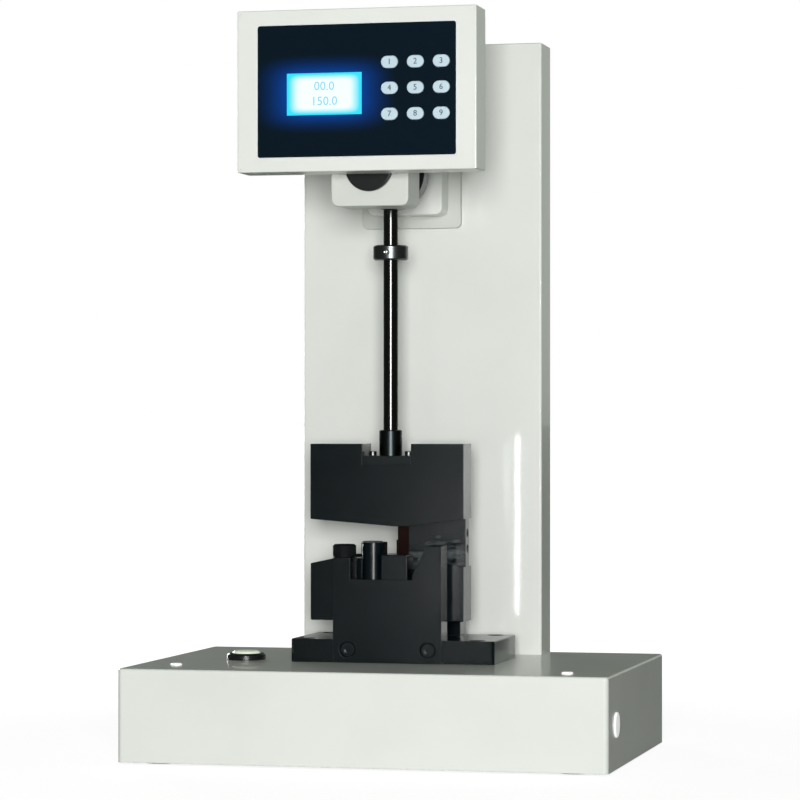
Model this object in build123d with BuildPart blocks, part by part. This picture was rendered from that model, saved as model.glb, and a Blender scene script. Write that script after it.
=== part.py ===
from build123d import *
import os
from math import sin, cos, tan, radians

# A free-standing pendulum impact tester with a digital display.
# X runs along the swing of the hammer, +Y to the back, +Z up; the floor is z = 0.

# base
base_w, base_d = 520, 352
base_bottom, base_top = 2, 100
base_wall = 4
foot_x, foot_y = 220, 140

# pendulum: its shaft runs along Y
axis_x, axis_z = -13, 627
swing_y = 19
hammer_w, hammer_t = 170, 39
hammer_top, hammer_bottom = 334, 143
jaw_top, jaw_bottom = 245, 214
rod_r = 8
striker_x = axis_x + 8

# column and bearing blocks
col_x0, col_x1 = -139, 133
col_front, col_back = 124, 176
col_top = 777
block_w, block_bottom, block_top = 84, 586, 737
front_y0, front_y1 = -76, -25
rear_y0, rear_y1 = 84, 116
bridge_w, bridge_z0, bridge_z1 = 30, 694, 732

# supports of the specimen
seat_z = 216
plate_x0, plate_x1 = -62, 57
plate_t = 28
plate_in = 33
notch_z, shoulder_z, post_z = 189, 213, 226
flange_w, flange_half_d = 223, 58
flange_x = 2
flange_top = 125
anvil_x = striker_x - 4
clamp_xs = {"front": -53, "rear": -44.5}
anvil_tops = {"front": 229, "rear": 213}
jaw_ws = {"front": 12, "rear": 5}

# control box
box_x0, box_x1 = -143, 114
box_z0, box_z1 = 619.5, 789
box_front, box_back = -129, -85

os.makedirs("parts", exist_ok=True)
finished = []


def keep(piece, name):
    piece.part.label = name
    finished.append(piece.part)


def screw_heads(spots, plane, head_r, head_h, shank_r, length):
    """Socket-head screws: the heads stand on the plane, the shanks go in behind it."""
    with BuildPart() as screws:
        with BuildSketch(plane):
            with Locations(*spots):
                Circle(head_r)
        extrude(amount=head_h)
        chamfer(screws.faces().group_by(Axis(plane.origin, plane.z_dir))[-1].edges(), head_r * 0.12)
        with BuildSketch(plane):
            with Locations(*spots):
                Circle(shank_r)
        extrude(amount=-length)
        with BuildSketch(plane.offset(head_h)):
            with Locations(*spots):
                RegularPolygon(head_r * 0.56, 6)
        extrude(amount=-head_h * 0.55, mode=Mode.SUBTRACT)
    return screws


def together(*groups):
    """One group of separate screws out of several."""
    with BuildPart() as joined:
        for group in groups:
            add(group.part)
    return joined


def back_plane(y):
    """A plane across Y that faces the back, with its own x running towards -X."""
    return Plane(origin=(0, y, 0), x_dir=(-1, 0, 0), z_dir=(0, 1, 0))


# Base: a painted cover, open below, round a heavy core that carries the column and supports.
col_mid = (col_x0 + col_x1) / 2
column_bolt_spots = [(col_mid + sx * 100, 152) for sx in (-1, 1)]
flange_bolt_spots = [(sx * 93, swing_y + sy * 48) for sx in (-1, 1) for sy in (-1, 1)]
level_spot = (-166, -15)
plug_spots = [(-215, -113), (211, -138)]
side_plug_spot = (-129, 48)

with BuildPart() as base_housing:
    with BuildSketch(Plane.XY.offset(base_bottom)):
        RectangleRounded(base_w, base_d, 5)
    extrude(amount=base_top - base_bottom)
    fillet(base_housing.faces().sort_by(Axis.Z)[-1].edges(), 2.5)
    with BuildSketch(Plane.XY.offset(base_bottom)):
        RectangleRounded(base_w - 2 * base_wall, base_d - 2 * base_wall, 3)
    extrude(amount=base_top - base_bottom - base_wall, mode=Mode.SUBTRACT)
    with BuildSketch(Plane.XY.offset(base_top)):
        with Locations(*column_bolt_spots, *flange_bolt_spots):
            Circle(5.5)
        with Locations(*plug_spots):
            Circle(4)
    extrude(amount=-base_wall, mode=Mode.SUBTRACT)
    with BuildSketch(Plane.YZ.offset(base_w / 2)):
        with Locations(side_plug_spot):
            Circle(11)
    extrude(amount=-base_wall, mode=Mode.SUBTRACT)
    with BuildSketch(Plane.XZ.offset(-base_d / 2)):
        with Locations((180, 50)):
            Rectangle(50, 28)
    extrude(amount=base_wall, mode=Mode.SUBTRACT)
keep(base_housing, "base_housing")

with BuildPart() as base_casting:
    with BuildSketch(Plane.XY.offset(12)):
        RectangleRounded(base_w - 2 * base_wall - 2, base_d - 2 * base_wall - 2, 3)
        with GridLocations(2 * foot_x, 2 * foot_y, 2, 2):
            Circle(6.05, mode=Mode.SUBTRACT)
    extrude(amount=10)
    with BuildSketch(Plane.XY.offset(22)):
        with Locations((0, 30)):
            Rectangle(290, 270)
    extrude(amount=base_top - base_wall - 22)
    with BuildSketch(Plane.XY.offset(base_top - base_wall)):
        with Locations(*column_bolt_spots, *flange_bolt_spots):
            Circle(5)
    extrude(amount=-30, mode=Mode.SUBTRACT)
keep(base_casting, "base_casting")

# Levelling feet: a rubber-shod disc on a threaded stem that turns in the base plate.
for foot_name, fx, fy in (("foot_front_left", -foot_x, -foot_y), ("foot_front_right", foot_x, -foot_y),
                          ("foot_back_left", -foot_x, foot_y), ("foot_back_right", foot_x, foot_y)):
    with BuildPart() as foot:
        with BuildSketch(Plane.XY):
            with Locations((fx, fy)):
                Circle(24)
        extrude(amount=7)
        chamfer(foot.edges().filter_by(GeomType.CIRCLE), 1.5)
        with BuildSketch(Plane.XY.offset(7)):
            with Locations((fx, fy)):
                Circle(6)
        extrude(amount=48)
        with BuildSketch(Plane.XY.offset(7)):
            with Locations((fx, fy)):
                RegularPolygon(10, 6)
        extrude(amount=4)
    keep(foot, foot_name)

# White plugs close a round opening at the right and two small ones on top.
with BuildPart() as cover_plugs:
    with BuildSketch(Plane.YZ.offset(base_w / 2)):
        with Locations(side_plug_spot):
            Circle(13)
    extrude(amount=2)
    with BuildSketch(Plane.YZ.offset(base_w / 2)):
        with Locations(side_plug_spot):
            Circle(10.9)
    extrude(amount=-7)
    with BuildSketch(Plane.XY.offset(base_top)):
        with Locations(*plug_spots):
            Circle(6)
    extrude(amount=2)
    with BuildSketch(Plane.XY.offset(base_top)):
        with Locations(*plug_spots):
            Circle(3.9)
    extrude(amount=-6)
    outer_faces = cover_plugs.faces().sort_by(Axis.X)[-1:] + cover_plugs.faces().sort_by(Axis.Z)[-2:]
    fillet(outer_faces.edges(), 1.2)
keep(cover_plugs, "cover_plugs")

# Mains inlet with its rocker switch, let into the back of the base.
with BuildPart() as power_inlet:
    with BuildSketch(Plane.XZ.offset(-base_d / 2)):
        with Locations((180, 50)):
            RectangleRounded(58, 36, 2)
    extrude(amount=-2.5)
    with BuildSketch(Plane.XZ.offset(-base_d / 2)):
        with Locations((180, 50)):
            Rectangle(49.6, 27.6)
    extrude(amount=20)
    with BuildSketch(Plane.XZ.offset(-base_d / 2 - 2.5)):
        with Locations((169, 50)):
            Rectangle(24, 17)
    extrude(amount=17, mode=Mode.SUBTRACT)
    with BuildSketch(Plane.XZ.offset(-base_d / 2 - 2.5)):
        with Locations((194.5, 50)):
            Rectangle(13, 20)
    extrude(amount=12, mode=Mode.SUBTRACT)
    with BuildSketch(Plane.YZ.offset(186.5)):
        with Locations((base_d / 2 - 3, 50)):
            Circle(1.55)
    extrude(amount=16, mode=Mode.SUBTRACT)
    with BuildSketch(Plane.XZ.offset(-base_d / 2 + 14.5)):
        with Locations((162, 49), (169, 53), (176, 49)):
            Rectangle(2, 4)
    extrude(amount=-12)
keep(power_inlet, "power_inlet")

with BuildPart() as power_rocker:
    with BuildSketch(Plane.YZ.offset(189)):
        with BuildLine():
            Polyline((base_d / 2 + 0.3, 41.8), (base_d / 2 + 1.2, 50), (base_d / 2 + 3.2, 57.8),
                     (base_d / 2 - 3.5, 57.4), (base_d / 2 - 6.5, 50), (base_d / 2 - 4, 42), close=True)
        make_face()
    extrude(amount=11)
    with BuildSketch(Plane.YZ.offset(187)):
        with Locations((base_d / 2 - 3, 50)):
            Circle(1.5)
    extrude(amount=15)
keep(power_rocker, "power_rocker")

# Round bubble level on the base.
with BuildPart() as level_ring:
    with BuildSketch(Plane.XY.offset(base_top)):
        with Locations(level_spot):
            Circle(21)
    extrude(amount=7)
    chamfer(level_ring.faces().sort_by(Axis.Z)[-1].edges(), 2)
    with BuildSketch(Plane.XY.offset(base_top + 2)):
        with Locations(level_spot):
            Circle(15)
    extrude(amount=5, mode=Mode.SUBTRACT)
keep(level_ring, "level_ring")

with BuildPart() as level_glass:
    with BuildSketch(Plane.XY.offset(base_top + 2)):
        with Locations(level_spot):
            Circle(14.9)
    extrude(amount=7.5)
    fillet(level_glass.faces().sort_by(Axis.Z)[-1].edges(), 3)
keep(level_glass, "level_glass")

# Column: a deep casting, open at the back, ribbed across and closed by a cover.
with BuildPart() as column:
    with BuildSketch(Plane.XY.offset(base_top)):
        with Locations((col_mid, (col_front + col_back) / 2)):
            RectangleRounded(col_x1 - col_x0, col_back - col_front, 2)
    extrude(amount=col_top - base_top)
    fillet(column.faces().sort_by(Axis.Z)[-1].edges(), 1.5)
    with BuildSketch(Plane.XZ.offset(-col_back)):
        with Locations((col_mid, base_top + 12 + 326)):
            RectangleRounded(col_x1 - col_x0 - 24, 652, 8)
    extrude(amount=col_back - col_front - 12, mode=Mode.SUBTRACT)
    for rib_z in (250, 400, 545):
        with BuildSketch(Plane.XZ.offset(-col_front - 10)):
            with Locations((col_mid, rib_z)):
                Rectangle(col_x1 - col_x0 - 20, 8)
        extrude(amount=-32)
    with BuildSketch(Plane.XZ.offset(-col_front)):
        with GridLocations(64, 104, 2, 2):
            with Locations((axis_x, 660)):
                Circle(4.2)
    extrude(amount=-12.5, mode=Mode.SUBTRACT)
    with BuildSketch(Plane.XZ.offset(-col_back)):
        with Locations((col_mid, 440)):
            with GridLocations(col_x1 - col_x0 - 12, 310, 2, 3):
                Circle(2)
    extrude(amount=12, mode=Mode.SUBTRACT)
    with BuildSketch(Plane.XY.offset(base_top)):
        with Locations(*column_bolt_spots):
            Circle(5.5)
    extrude(amount=12.5, mode=Mode.SUBTRACT)
    with BuildSketch(Plane.XZ.offset(-col_back)):
        with Locations((col_mid, 440)):
            RectangleRounded(col_x1 - col_x0 - 3.6, 666.4, 4.2)
    extrude(amount=2, mode=Mode.SUBTRACT)
keep(column, "column")

with BuildPart() as column_cover:
    with BuildSketch(Plane.XZ.offset(-col_back + 2)):
        with Locations((col_mid, 440)):
            RectangleRounded(col_x1 - col_x0 - 4, 666, 4)
            with GridLocations(col_x1 - col_x0 - 12, 310, 2, 3):
                Circle(2.1, mode=Mode.SUBTRACT)
    extrude(amount=-2)
keep(column_cover, "column_cover")

# Bearing bracket: a pad on the column, a rear block, a bridge over the pendulum and a front block.
block_mid = (block_bottom + block_top) / 2
block_h = block_top - block_bottom
pad_spots = [(axis_x + sx * 32, 660 + sz * 52) for sx in (-1, 1) for sz in (-1, 1)]
bridge_spots = [(axis_x, bridge_z0 + 9), (axis_x, bridge_z1 - 9)]

with BuildPart() as bearing_pad:
    with BuildSketch(Plane.XZ.offset(-rear_y1)):
        with Locations((axis_x, 655)):
            RectangleRounded(112, 164, 6)
        with Locations(*pad_spots):
            Circle(4.2, mode=Mode.SUBTRACT)
    extrude(amount=-(col_front - rear_y1))
keep(bearing_pad, "bearing_pad")

with BuildPart() as rear_block:
    with BuildSketch(Plane.XZ.offset(-rear_y0)):
        with Locations((axis_x, block_mid)):
            RectangleRounded(block_w, block_h, 8)
    extrude(amount=-(rear_y1 - rear_y0))
    fillet(rear_block.faces().sort_by(Axis.Y)[0].edges(), 1.5)
    with BuildSketch(Plane.XZ.offset(-rear_y0)):
        with Locations((axis_x, axis_z)):
            Circle(23.5)
    extrude(amount=-16, mode=Mode.SUBTRACT)
    with BuildSketch(Plane.XZ.offset(-rear_y0)):
        with Locations((axis_x, axis_z)):
            Circle(17)
    extrude(amount=-28, mode=Mode.SUBTRACT)
    with BuildSketch(Plane.XZ.offset(-rear_y1)):
        with Locations(*pad_spots):
            Circle(4)
    extrude(amount=20, mode=Mode.SUBTRACT)
    with BuildSketch(Plane.XZ.offset(-rear_y0)):
        with Locations(*bridge_spots):
            Circle(4)
    extrude(amount=-26, mode=Mode.SUBTRACT)
keep(rear_block, "rear_block")

with BuildPart() as front_block:
    with BuildSketch(Plane.XZ.offset(-front_y0)):
        with Locations((axis_x, block_mid)):
            RectangleRounded(block_w, block_h, 8)
    extrude(amount=-(front_y1 - front_y0))
    fillet(front_block.faces().sort_by(Axis.Y)[0].edges(), 1.5)
    with BuildSketch(Plane.XZ.offset(-front_y1)):
        with Locations((axis_x, axis_z)):
            Circle(23.5)
    extrude(amount=16, mode=Mode.SUBTRACT)
    with BuildSketch(Plane.XZ.offset(-front_y1)):
        with Locations((axis_x, axis_z)):
            Circle(17)
    extrude(amount=front_y1 - front_y0, mode=Mode.SUBTRACT)
    with BuildSketch(Plane.XZ.offset(-front_y0)):
        with Locations(*bridge_spots):
            Circle(4.2)
    extrude(amount=front_y0 - front_y1, mode=Mode.SUBTRACT)
    with BuildSketch(Plane.XZ.offset(-front_y0)):
        with Locations(*bridge_spots):
            Circle(7)
    extrude(amount=-9, mode=Mode.SUBTRACT)
keep(front_block, "front_block")

with BuildPart() as bridge:
    with BuildSketch(Plane.XZ.offset(-front_y1)):
        with Locations((axis_x, (bridge_z0 + bridge_z1) / 2)):
            RectangleRounded(bridge_w, bridge_z1 - bridge_z0, 3)
        with Locations(*bridge_spots):
            Circle(4.2, mode=Mode.SUBTRACT)
    extrude(amount=-(rear_y0 - front_y1))
    with BuildSketch(Plane.XY.offset(bridge_z0)):
        with Locations((axis_x + 4, swing_y - 8), (axis_x + 4, swing_y + 8)):
            Circle(2)
    extrude(amount=5, mode=Mode.SUBTRACT)
keep(bridge, "bridge")

bracket_bolts = together(
    screw_heads(bridge_spots, Plane.XZ.offset(-front_y0 - 9), 6.5, 8, 3.9, rear_y0 - front_y0 + 14),
    screw_heads([(-x, z) for x, z in pad_spots], back_plane(col_front + 12), 6.5, 8, 3.9, 36))
keep(bracket_bolts, "bracket_bolts")

# Two sealed ball bearings: outer rings stand in the blocks, inner rings turn with the shaft.
ring_starts = (rear_y0, front_y1 - 14)
with BuildPart() as bearing_outers:
    for ring_y in ring_starts:
        with BuildSketch(Plane.XZ.offset(-ring_y)):
            with Locations((axis_x, axis_z)):
                Circle(23.5)
                Circle(18.5, mode=Mode.SUBTRACT)
        extrude(amount=-14)
        with BuildSketch(Plane.XZ.offset(-ring_y - 1)):
            with Locations((axis_x, axis_z)):
                Circle(19)
                Circle(14.4, mode=Mode.SUBTRACT)
        extrude(amount=-12)
keep(bearing_outers, "bearing_outers")

with BuildPart() as bearing_inners:
    for ring_y in ring_starts:
        with BuildSketch(Plane.XZ.offset(-ring_y)):
            with Locations((axis_x, axis_z)):
                Circle(14)
                Circle(10, mode=Mode.SUBTRACT)
        extrude(amount=-14)
keep(bearing_inners, "bearing_inners")

# Angle encoder on the front of the front block, driven by the thin end of the shaft.
with BuildPart() as encoder:
    with BuildSketch(Plane.XZ.offset(-front_y0)):
        with Locations((axis_x, axis_z)):
            Circle(25.5)
    extrude(amount=6)
    fillet(encoder.faces().sort_by(Axis.Y)[0].edges(), 1.5)
    with BuildSketch(Plane.XZ.offset(-front_y0)):
        with Locations((axis_x, axis_z)):
            Circle(16.9)
    extrude(amount=-6)
    with BuildSketch(Plane.XZ.offset(-front_y0 - 6)):
        with Locations((axis_x, axis_z)):
            Circle(4.05)
    extrude(amount=10.5, mode=Mode.SUBTRACT)
keep(encoder, "encoder")

# Support bed: a thick flange bolted to the base, and twin uprights clamped to its front and back.
plate_mid, plate_w = (plate_x0 + plate_x1) / 2, plate_x1 - plate_x0
support_screw_spots = [(-46, 114.5), (42, 114.5)]
with BuildPart() as support_flange:
    with BuildSketch(Plane.XY.offset(base_top)):
        with Locations((flange_x, swing_y)):
            Rectangle(flange_w, 2 * flange_half_d)
        with Locations((plate_mid, swing_y - flange_half_d), (plate_mid, swing_y + flange_half_d)):
            Rectangle(plate_w + 0.4, 20, mode=Mode.SUBTRACT)
    extrude(amount=flange_top - base_top)
    chamfer(support_flange.edges().filter_by(Axis.Z).filter_by(lambda e: abs(e.center().X) > 90), 3)
    chamfer(support_flange.faces().sort_by(Axis.Z)[-1].edges().filter_by(Axis.Y), 1)
    with Locations((0, 0, flange_top)):
        with Locations(*flange_bolt_spots):
            CounterBoreHole(5.5, 9, 11, 26)
    for side in (-1, 1):
        with BuildSketch(Plane.XZ.offset(-(swing_y + side * (flange_half_d - 10)))):
            with Locations(*support_screw_spots):
                Circle(5)
        extrude(amount=side * 16, mode=Mode.SUBTRACT)
keep(support_flange, "support_flange")

base_bolts = together(
    screw_heads(flange_bolt_spots, Plane.XY.offset(flange_top - 11), 8, 10, 4.9, 40),
    screw_heads(column_bolt_spots, Plane.XY.offset(base_top + 12), 8, 10, 4.9, 38))
keep(base_bolts, "base_bolts")

support_screws, clamp_screws, anvils, seats = [], [], [], []
for end_name, side in (("front", -1), ("rear", 1)):
    inner_y = swing_y + side * plate_in
    outer_y = inner_y + side * plate_t
    clamp_x = clamp_xs[end_name]
    with BuildPart() as support:
        with BuildSketch(Plane.XZ.offset(-inner_y)):
            with BuildLine():
                Polyline((plate_x0, base_top + 0.3), (plate_x1, base_top + 0.3), (plate_x1, post_z), (41, post_z),
                         (25, 194), (25, notch_z), (clamp_x + 10, notch_z), (clamp_x + 10, shoulder_z),
                         (plate_x0, shoulder_z), close=True)
            make_face()
        extrude(amount=-side * plate_t)
        with BuildSketch(Plane.XZ.offset(-inner_y + side * 1)):
            with Locations((0, (base_top + flange_top) / 2)):
                Rectangle(240, flange_top - base_top + 0.1)
        extrude(amount=-side * (flange_half_d - 10 - plate_in + 1.2), mode=Mode.SUBTRACT)
        with BuildSketch(Plane.XZ.offset(-outer_y)):
            with Locations(*support_screw_spots):
                Circle(5.3)
        extrude(amount=side * 16, mode=Mode.SUBTRACT)
        with BuildSketch(Plane.XZ.offset(-outer_y)):
            with Locations(*support_screw_spots):
                Circle(9)
        extrude(amount=side * 6, mode=Mode.SUBTRACT)
        chamfer(support.faces().filter_by(Axis.Z).sort_by(Axis.Z)[-2:].edges(), 1)
        with BuildSketch(Plane.XY.offset(shoulder_z)):
            with Locations((clamp_x, swing_y + side * 46)):
                Circle(8)
        extrude(amount=-30, mode=Mode.SUBTRACT)
        with BuildSketch(Plane.XY.offset(notch_z)):
            with Locations((anvil_x - 12, swing_y + side * 45)):
                Circle(8)
        extrude(amount=-20, mode=Mode.SUBTRACT)
    keep(support, end_name + "_support")

    screw_plane = back_plane(outer_y - 6) if side > 0 else Plane.XZ.offset(-outer_y - 6)
    screw_spots = [(-side * x, z) for x, z in support_screw_spots]
    support_screws.append(screw_heads(screw_spots, screw_plane, 8, 5.5, 4.9, 20))
    clamp_screws.append(
        screw_heads([(clamp_x, swing_y + side * 46)], Plane.XY.offset(shoulder_z), 12.3, 13.5, 7.9, 28))

    # Anvil: a round post with an upright jaw whose inner edge carries the 1 mm contact radius.
    jaw_w = jaw_ws[end_name]
    with BuildPart() as anvil:
        with BuildSketch(Plane.XY.offset(notch_z)):
            with Locations((anvil_x - 12, swing_y + side * 45.1)):
                Circle(12)
        extrude(amount=anvil_tops[end_name] - notch_z)
        with BuildSketch(Plane.XY.offset(205)):
            with Locations((anvil_x - jaw_w / 2, swing_y + side * 38)):
                Rectangle(jaw_w, 14)
        extrude(amount=24)
        jaw_edge = anvil.edges().filter_by(Axis.Z).filter_by(lambda e: abs(e.center().X - anvil_x) < 0.01)
        fillet(jaw_edge.sort_by(Axis.Y)[0 if side > 0 else -1], 1)
        chamfer(anvil.faces().sort_by(Axis.Z)[-1].edges(), 0.6)
        with BuildSketch(Plane.XY.offset(notch_z)):
            with Locations((anvil_x - 12, swing_y + side * 45)):
                Circle(7.9)
        extrude(amount=-18)
    anvils.append(anvil)

    with BuildPart() as seat:
        with BuildSketch(Plane.XY.offset(notch_z)):
            with Locations((anvil_x + 14.3, swing_y + side * 45.5)):
                Rectangle(28, 29)
        extrude(amount=seat_z - notch_z)
        chamfer(seat.faces().sort_by(Axis.Z)[-1].edges(), 0.8)
    seats.append(seat)

keep(together(*support_screws), "support_screws")
keep(together(*clamp_screws), "clamp_screws")
keep(together(*anvils), "anvils")
keep(together(*seats), "specimen_seats")

# Pendulum: shaft, hub, rod with its balance ring, socket and C-shaped hammer.
with BuildPart() as shaft:
    for y0, y1, r in ((front_y0 - 4, front_y0 + 10, 4), (front_y0 + 10, front_y1 - 15, 9), (front_y1 - 15, front_y1, 10),
                      (front_y1, rear_y0, 13), (rear_y0, rear_y0 + 15, 10), (rear_y0 + 15, rear_y0 + 24, 9)):
        with BuildSketch(Plane.XZ.offset(-y0)):
            with Locations((axis_x, axis_z)):
                Circle(r)
        extrude(amount=-(y1 - y0))
keep(shaft, "shaft")

latch_angle = 150
with BuildPart() as hub_disc:
    with BuildSketch(Plane.XZ.offset(-(swing_y - 13))):
        with Locations((axis_x, axis_z)):
            Circle(40)
    extrude(amount=-26)
    chamfer(hub_disc.edges().filter_by(GeomType.CIRCLE), 1)
    with BuildSketch(Plane.XZ.offset(-(swing_y - 22))):
        with Locations((axis_x, axis_z)):
            Circle(21)
    extrude(amount=-44)
    with BuildSketch(Plane.XZ.offset(-(swing_y - 22))):
        with Locations((axis_x, axis_z)):
            Circle(13)
    extrude(amount=-44, mode=Mode.SUBTRACT)
    with BuildSketch(Plane.XY.offset(axis_z - 41)):
        with Locations((axis_x, swing_y)):
            Circle(rod_r)
    extrude(amount=19, mode=Mode.SUBTRACT)
    notch_dir = radians(90 - latch_angle)
    with BuildSketch(Plane.XZ.offset(-(swing_y - 13))):
        with Locations(Location((axis_x + 38 * cos(notch_dir), axis_z + 38 * sin(notch_dir), 0), (0, 0, -latch_angle))):
            Rectangle(9, 8)
    extrude(amount=-26, mode=Mode.SUBTRACT)
keep(hub_disc, "hub_disc")

rod_top = axis_z - 22
ring_z = 541
with BuildPart() as rod:
    with BuildSketch(Plane.XY.offset(hammer_top - 22)):
        with Locations((axis_x, swing_y)):
            Circle(rod_r)
    extrude(amount=rod_top - hammer_top + 22)
keep(rod, "rod")

with BuildPart() as balance_ring:
    with BuildSketch(Plane.XY.offset(ring_z - 8)):
        with Locations((axis_x, swing_y)):
            Circle(19)
            Circle(rod_r, mode=Mode.SUBTRACT)
    extrude(amount=16)
    chamfer(balance_ring.edges().filter_by(GeomType.CIRCLE).filter_by(lambda e: e.radius > 10), 1.5)
    with BuildSketch(Plane.XZ.offset(-swing_y + 20)):
        with Locations((axis_x, ring_z)):
            Circle(3)
    extrude(amount=-15, mode=Mode.SUBTRACT)
keep(balance_ring, "balance_ring")

with BuildPart() as ring_set_screw:
    with BuildSketch(Plane.XZ.offset(-swing_y + 17.5)):
        with Locations((axis_x, ring_z)):
            Circle(2.9)
    extrude(amount=-9)
    with BuildSketch(Plane.XZ.offset(-swing_y + 17.5)):
        with Locations((axis_x, ring_z)):
            RegularPolygon(1.6, 6)
    extrude(amount=-3, mode=Mode.SUBTRACT)
keep(ring_set_screw, "ring_set_screw")

with BuildPart() as rod_socket:
    with BuildSketch(Plane.XY.offset(hammer_top - 22)):
        with Locations((axis_x, swing_y)):
            Rectangle(53.4, hammer_t - 1)
    extrude(amount=9)
    with BuildSketch(Plane.XY.offset(hammer_top - 13)):
        with Locations((axis_x, swing_y)):
            Circle(12.5)
    extrude(amount=28)
    chamfer(rod_socket.faces().sort_by(Axis.Z)[-1].edges(), 1)
    with BuildSketch(Plane.XY.offset(hammer_top - 22)):
        with Locations((axis_x, swing_y)):
            Circle(rod_r)
        with Locations((axis_x - 20, swing_y), (axis_x + 20, swing_y)):
            Circle(2.7)
    extrude(amount=40, mode=Mode.SUBTRACT)
keep(rod_socket, "rod_socket")

socket_spots = [(axis_x - 20, swing_y), (axis_x + 20, swing_y)]

hx0, hx1 = axis_x - hammer_w / 2, axis_x + hammer_w / 2
with BuildPart() as hammer:
    with BuildSketch(Plane.XZ.offset(-(swing_y - hammer_t / 2))):
        with BuildLine():
            Polyline((hx0, hammer_bottom), (hx1, hammer_bottom), (hx1, hammer_top), (axis_x + 27, hammer_top),
                     (axis_x + 27, hammer_top - 22), (axis_x - 27, hammer_top - 22), (axis_x - 27, hammer_top),
                     (hx0, hammer_top), (hx0, 252.5), (axis_x + 8, jaw_top), (axis_x + 22, jaw_top),
                     (axis_x + 22, jaw_bottom), (axis_x + 6, jaw_bottom), (axis_x - 30, 210.5),
                     (axis_x - 61, 209.5), (hx0, 204.5), close=True)
        make_face()
    extrude(amount=-hammer_t)
    for face_y, way in ((swing_y - hammer_t / 2, -1), (swing_y + hammer_t / 2, 1)):
        with BuildSketch(Plane.XZ.offset(-face_y)):
            with BuildLine():
                Polyline((axis_x + 22, jaw_top), (hx1 + 1, 253.5), (hx1 + 1, 201.5), (axis_x + 22, jaw_bottom), close=True)
            make_face()
        extrude(amount=way * 11, mode=Mode.SUBTRACT)
    chamfer(hammer.faces().sort_by(Axis.X)[0].edges(), 1)
    chamfer(hammer.faces().sort_by(Axis.Z)[0].edges().filter_by(Axis.X), 1)
    with BuildSketch(Plane.XY.offset(hammer_top - 22)):
        with Locations(*socket_spots):
            Circle(2.5)
    extrude(amount=-18, mode=Mode.SUBTRACT)
    with BuildSketch(Plane.YZ.offset(hx1)):
        with Locations((swing_y, 221), (swing_y, 238)):
            Circle(2.5)
    extrude(amount=-70, mode=Mode.SUBTRACT)
    with BuildSketch(Plane.YZ.offset(hx1)):
        with Locations((swing_y, 221), (swing_y, 238)):
            Circle(4.6)
    extrude(amount=-32, mode=Mode.SUBTRACT)
keep(hammer, "hammer")

with BuildPart() as striker:
    nose = tan(radians(15))
    with BuildSketch(Plane.XY.offset(jaw_bottom + 0.2)):
        with BuildLine():
            tip_x, tip_r = striker_x, 2
            side_x = tip_x + tip_r - tip_r * sin(radians(15))
            side_y = tip_r * cos(radians(15))
            root_y = side_y + (axis_x + 22 - side_x) * nose
            ThreePointArc((side_x, swing_y - side_y), (tip_x, swing_y), (side_x, swing_y + side_y))
            Line((side_x, swing_y + side_y), (axis_x + 22, swing_y + root_y))
            Line((axis_x + 22, swing_y + root_y), (axis_x + 22, swing_y - root_y))
            Line((axis_x + 22, swing_y - root_y), (side_x, swing_y - side_y))
        make_face()
    extrude(amount=jaw_top - jaw_bottom - 0.4)
    with BuildSketch(Plane.YZ.offset(axis_x + 22)):
        with Locations((swing_y, 221), (swing_y, 238)):
            Circle(1.6)
    extrude(amount=-6, mode=Mode.SUBTRACT)
keep(striker, "striker")

hammer_screws = together(
    screw_heads(socket_spots, Plane.XY.offset(hammer_top - 13), 4.25, 5, 2.4, 25),
    screw_heads([(swing_y, 221), (swing_y, 238)], Plane.YZ.offset(hx1 - 32), 4.25, 5, 1.5, 34))
keep(hammer_screws, "hammer_screws")

# Latch under the bridge: a pawl that rests on the hub rim and drops into its notch at the raised angle.
latch_x, latch_z = axis_x - 13, axis_z + 52
with BuildPart() as latch_bracket:
    with BuildSketch(Plane.XY.offset(bridge_z0 - 4)):
        with Locations((axis_x - 5, swing_y)):
            Rectangle(34, 30)
    extrude(amount=4)
    for ear_y in (swing_y - 15, swing_y + 11):
        with BuildSketch(Plane.XZ.offset(-ear_y)):
            with Locations((latch_x, latch_z)):
                Circle(6)
            with Locations((latch_x, (latch_z + bridge_z0 - 2) / 2)):
                Rectangle(12, bridge_z0 - 2 - latch_z)
            with Locations((latch_x, latch_z)):
                Circle(2.55, mode=Mode.SUBTRACT)
        extrude(amount=-4)
    with BuildSketch(Plane.XY.offset(bridge_z0)):
        with Locations((axis_x + 4, swing_y - 8), (axis_x + 4, swing_y + 8)):
            Circle(2)
    extrude(amount=-4, mode=Mode.SUBTRACT)
keep(latch_bracket, "latch_bracket")

with BuildPart() as latch_pin:
    with BuildSketch(Plane.XZ.offset(-(swing_y - 21))):
        with Locations((latch_x, latch_z)):
            Circle(2.5)
    extrude(amount=-38)
keep(latch_pin, "latch_pin")

with BuildPart() as latch_pawl:
    with BuildSketch(Plane.XZ.offset(-(swing_y - 10.7))):
        with Locations((latch_x, latch_z)):
            Circle(5)
        with BuildLine():
            Polyline((latch_x, latch_z - 4.9), (axis_x - 1, axis_z + 40.4), (axis_x + 6, axis_z + 40.8),
                     (axis_x + 6, axis_z + 46), (latch_x, latch_z + 4.9), close=True)
        make_face()
        with Locations((latch_x, latch_z)):
            Circle(2.5, mode=Mode.SUBTRACT)
    extrude(amount=-21.4)
keep(latch_pawl, "latch_pawl")

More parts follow.
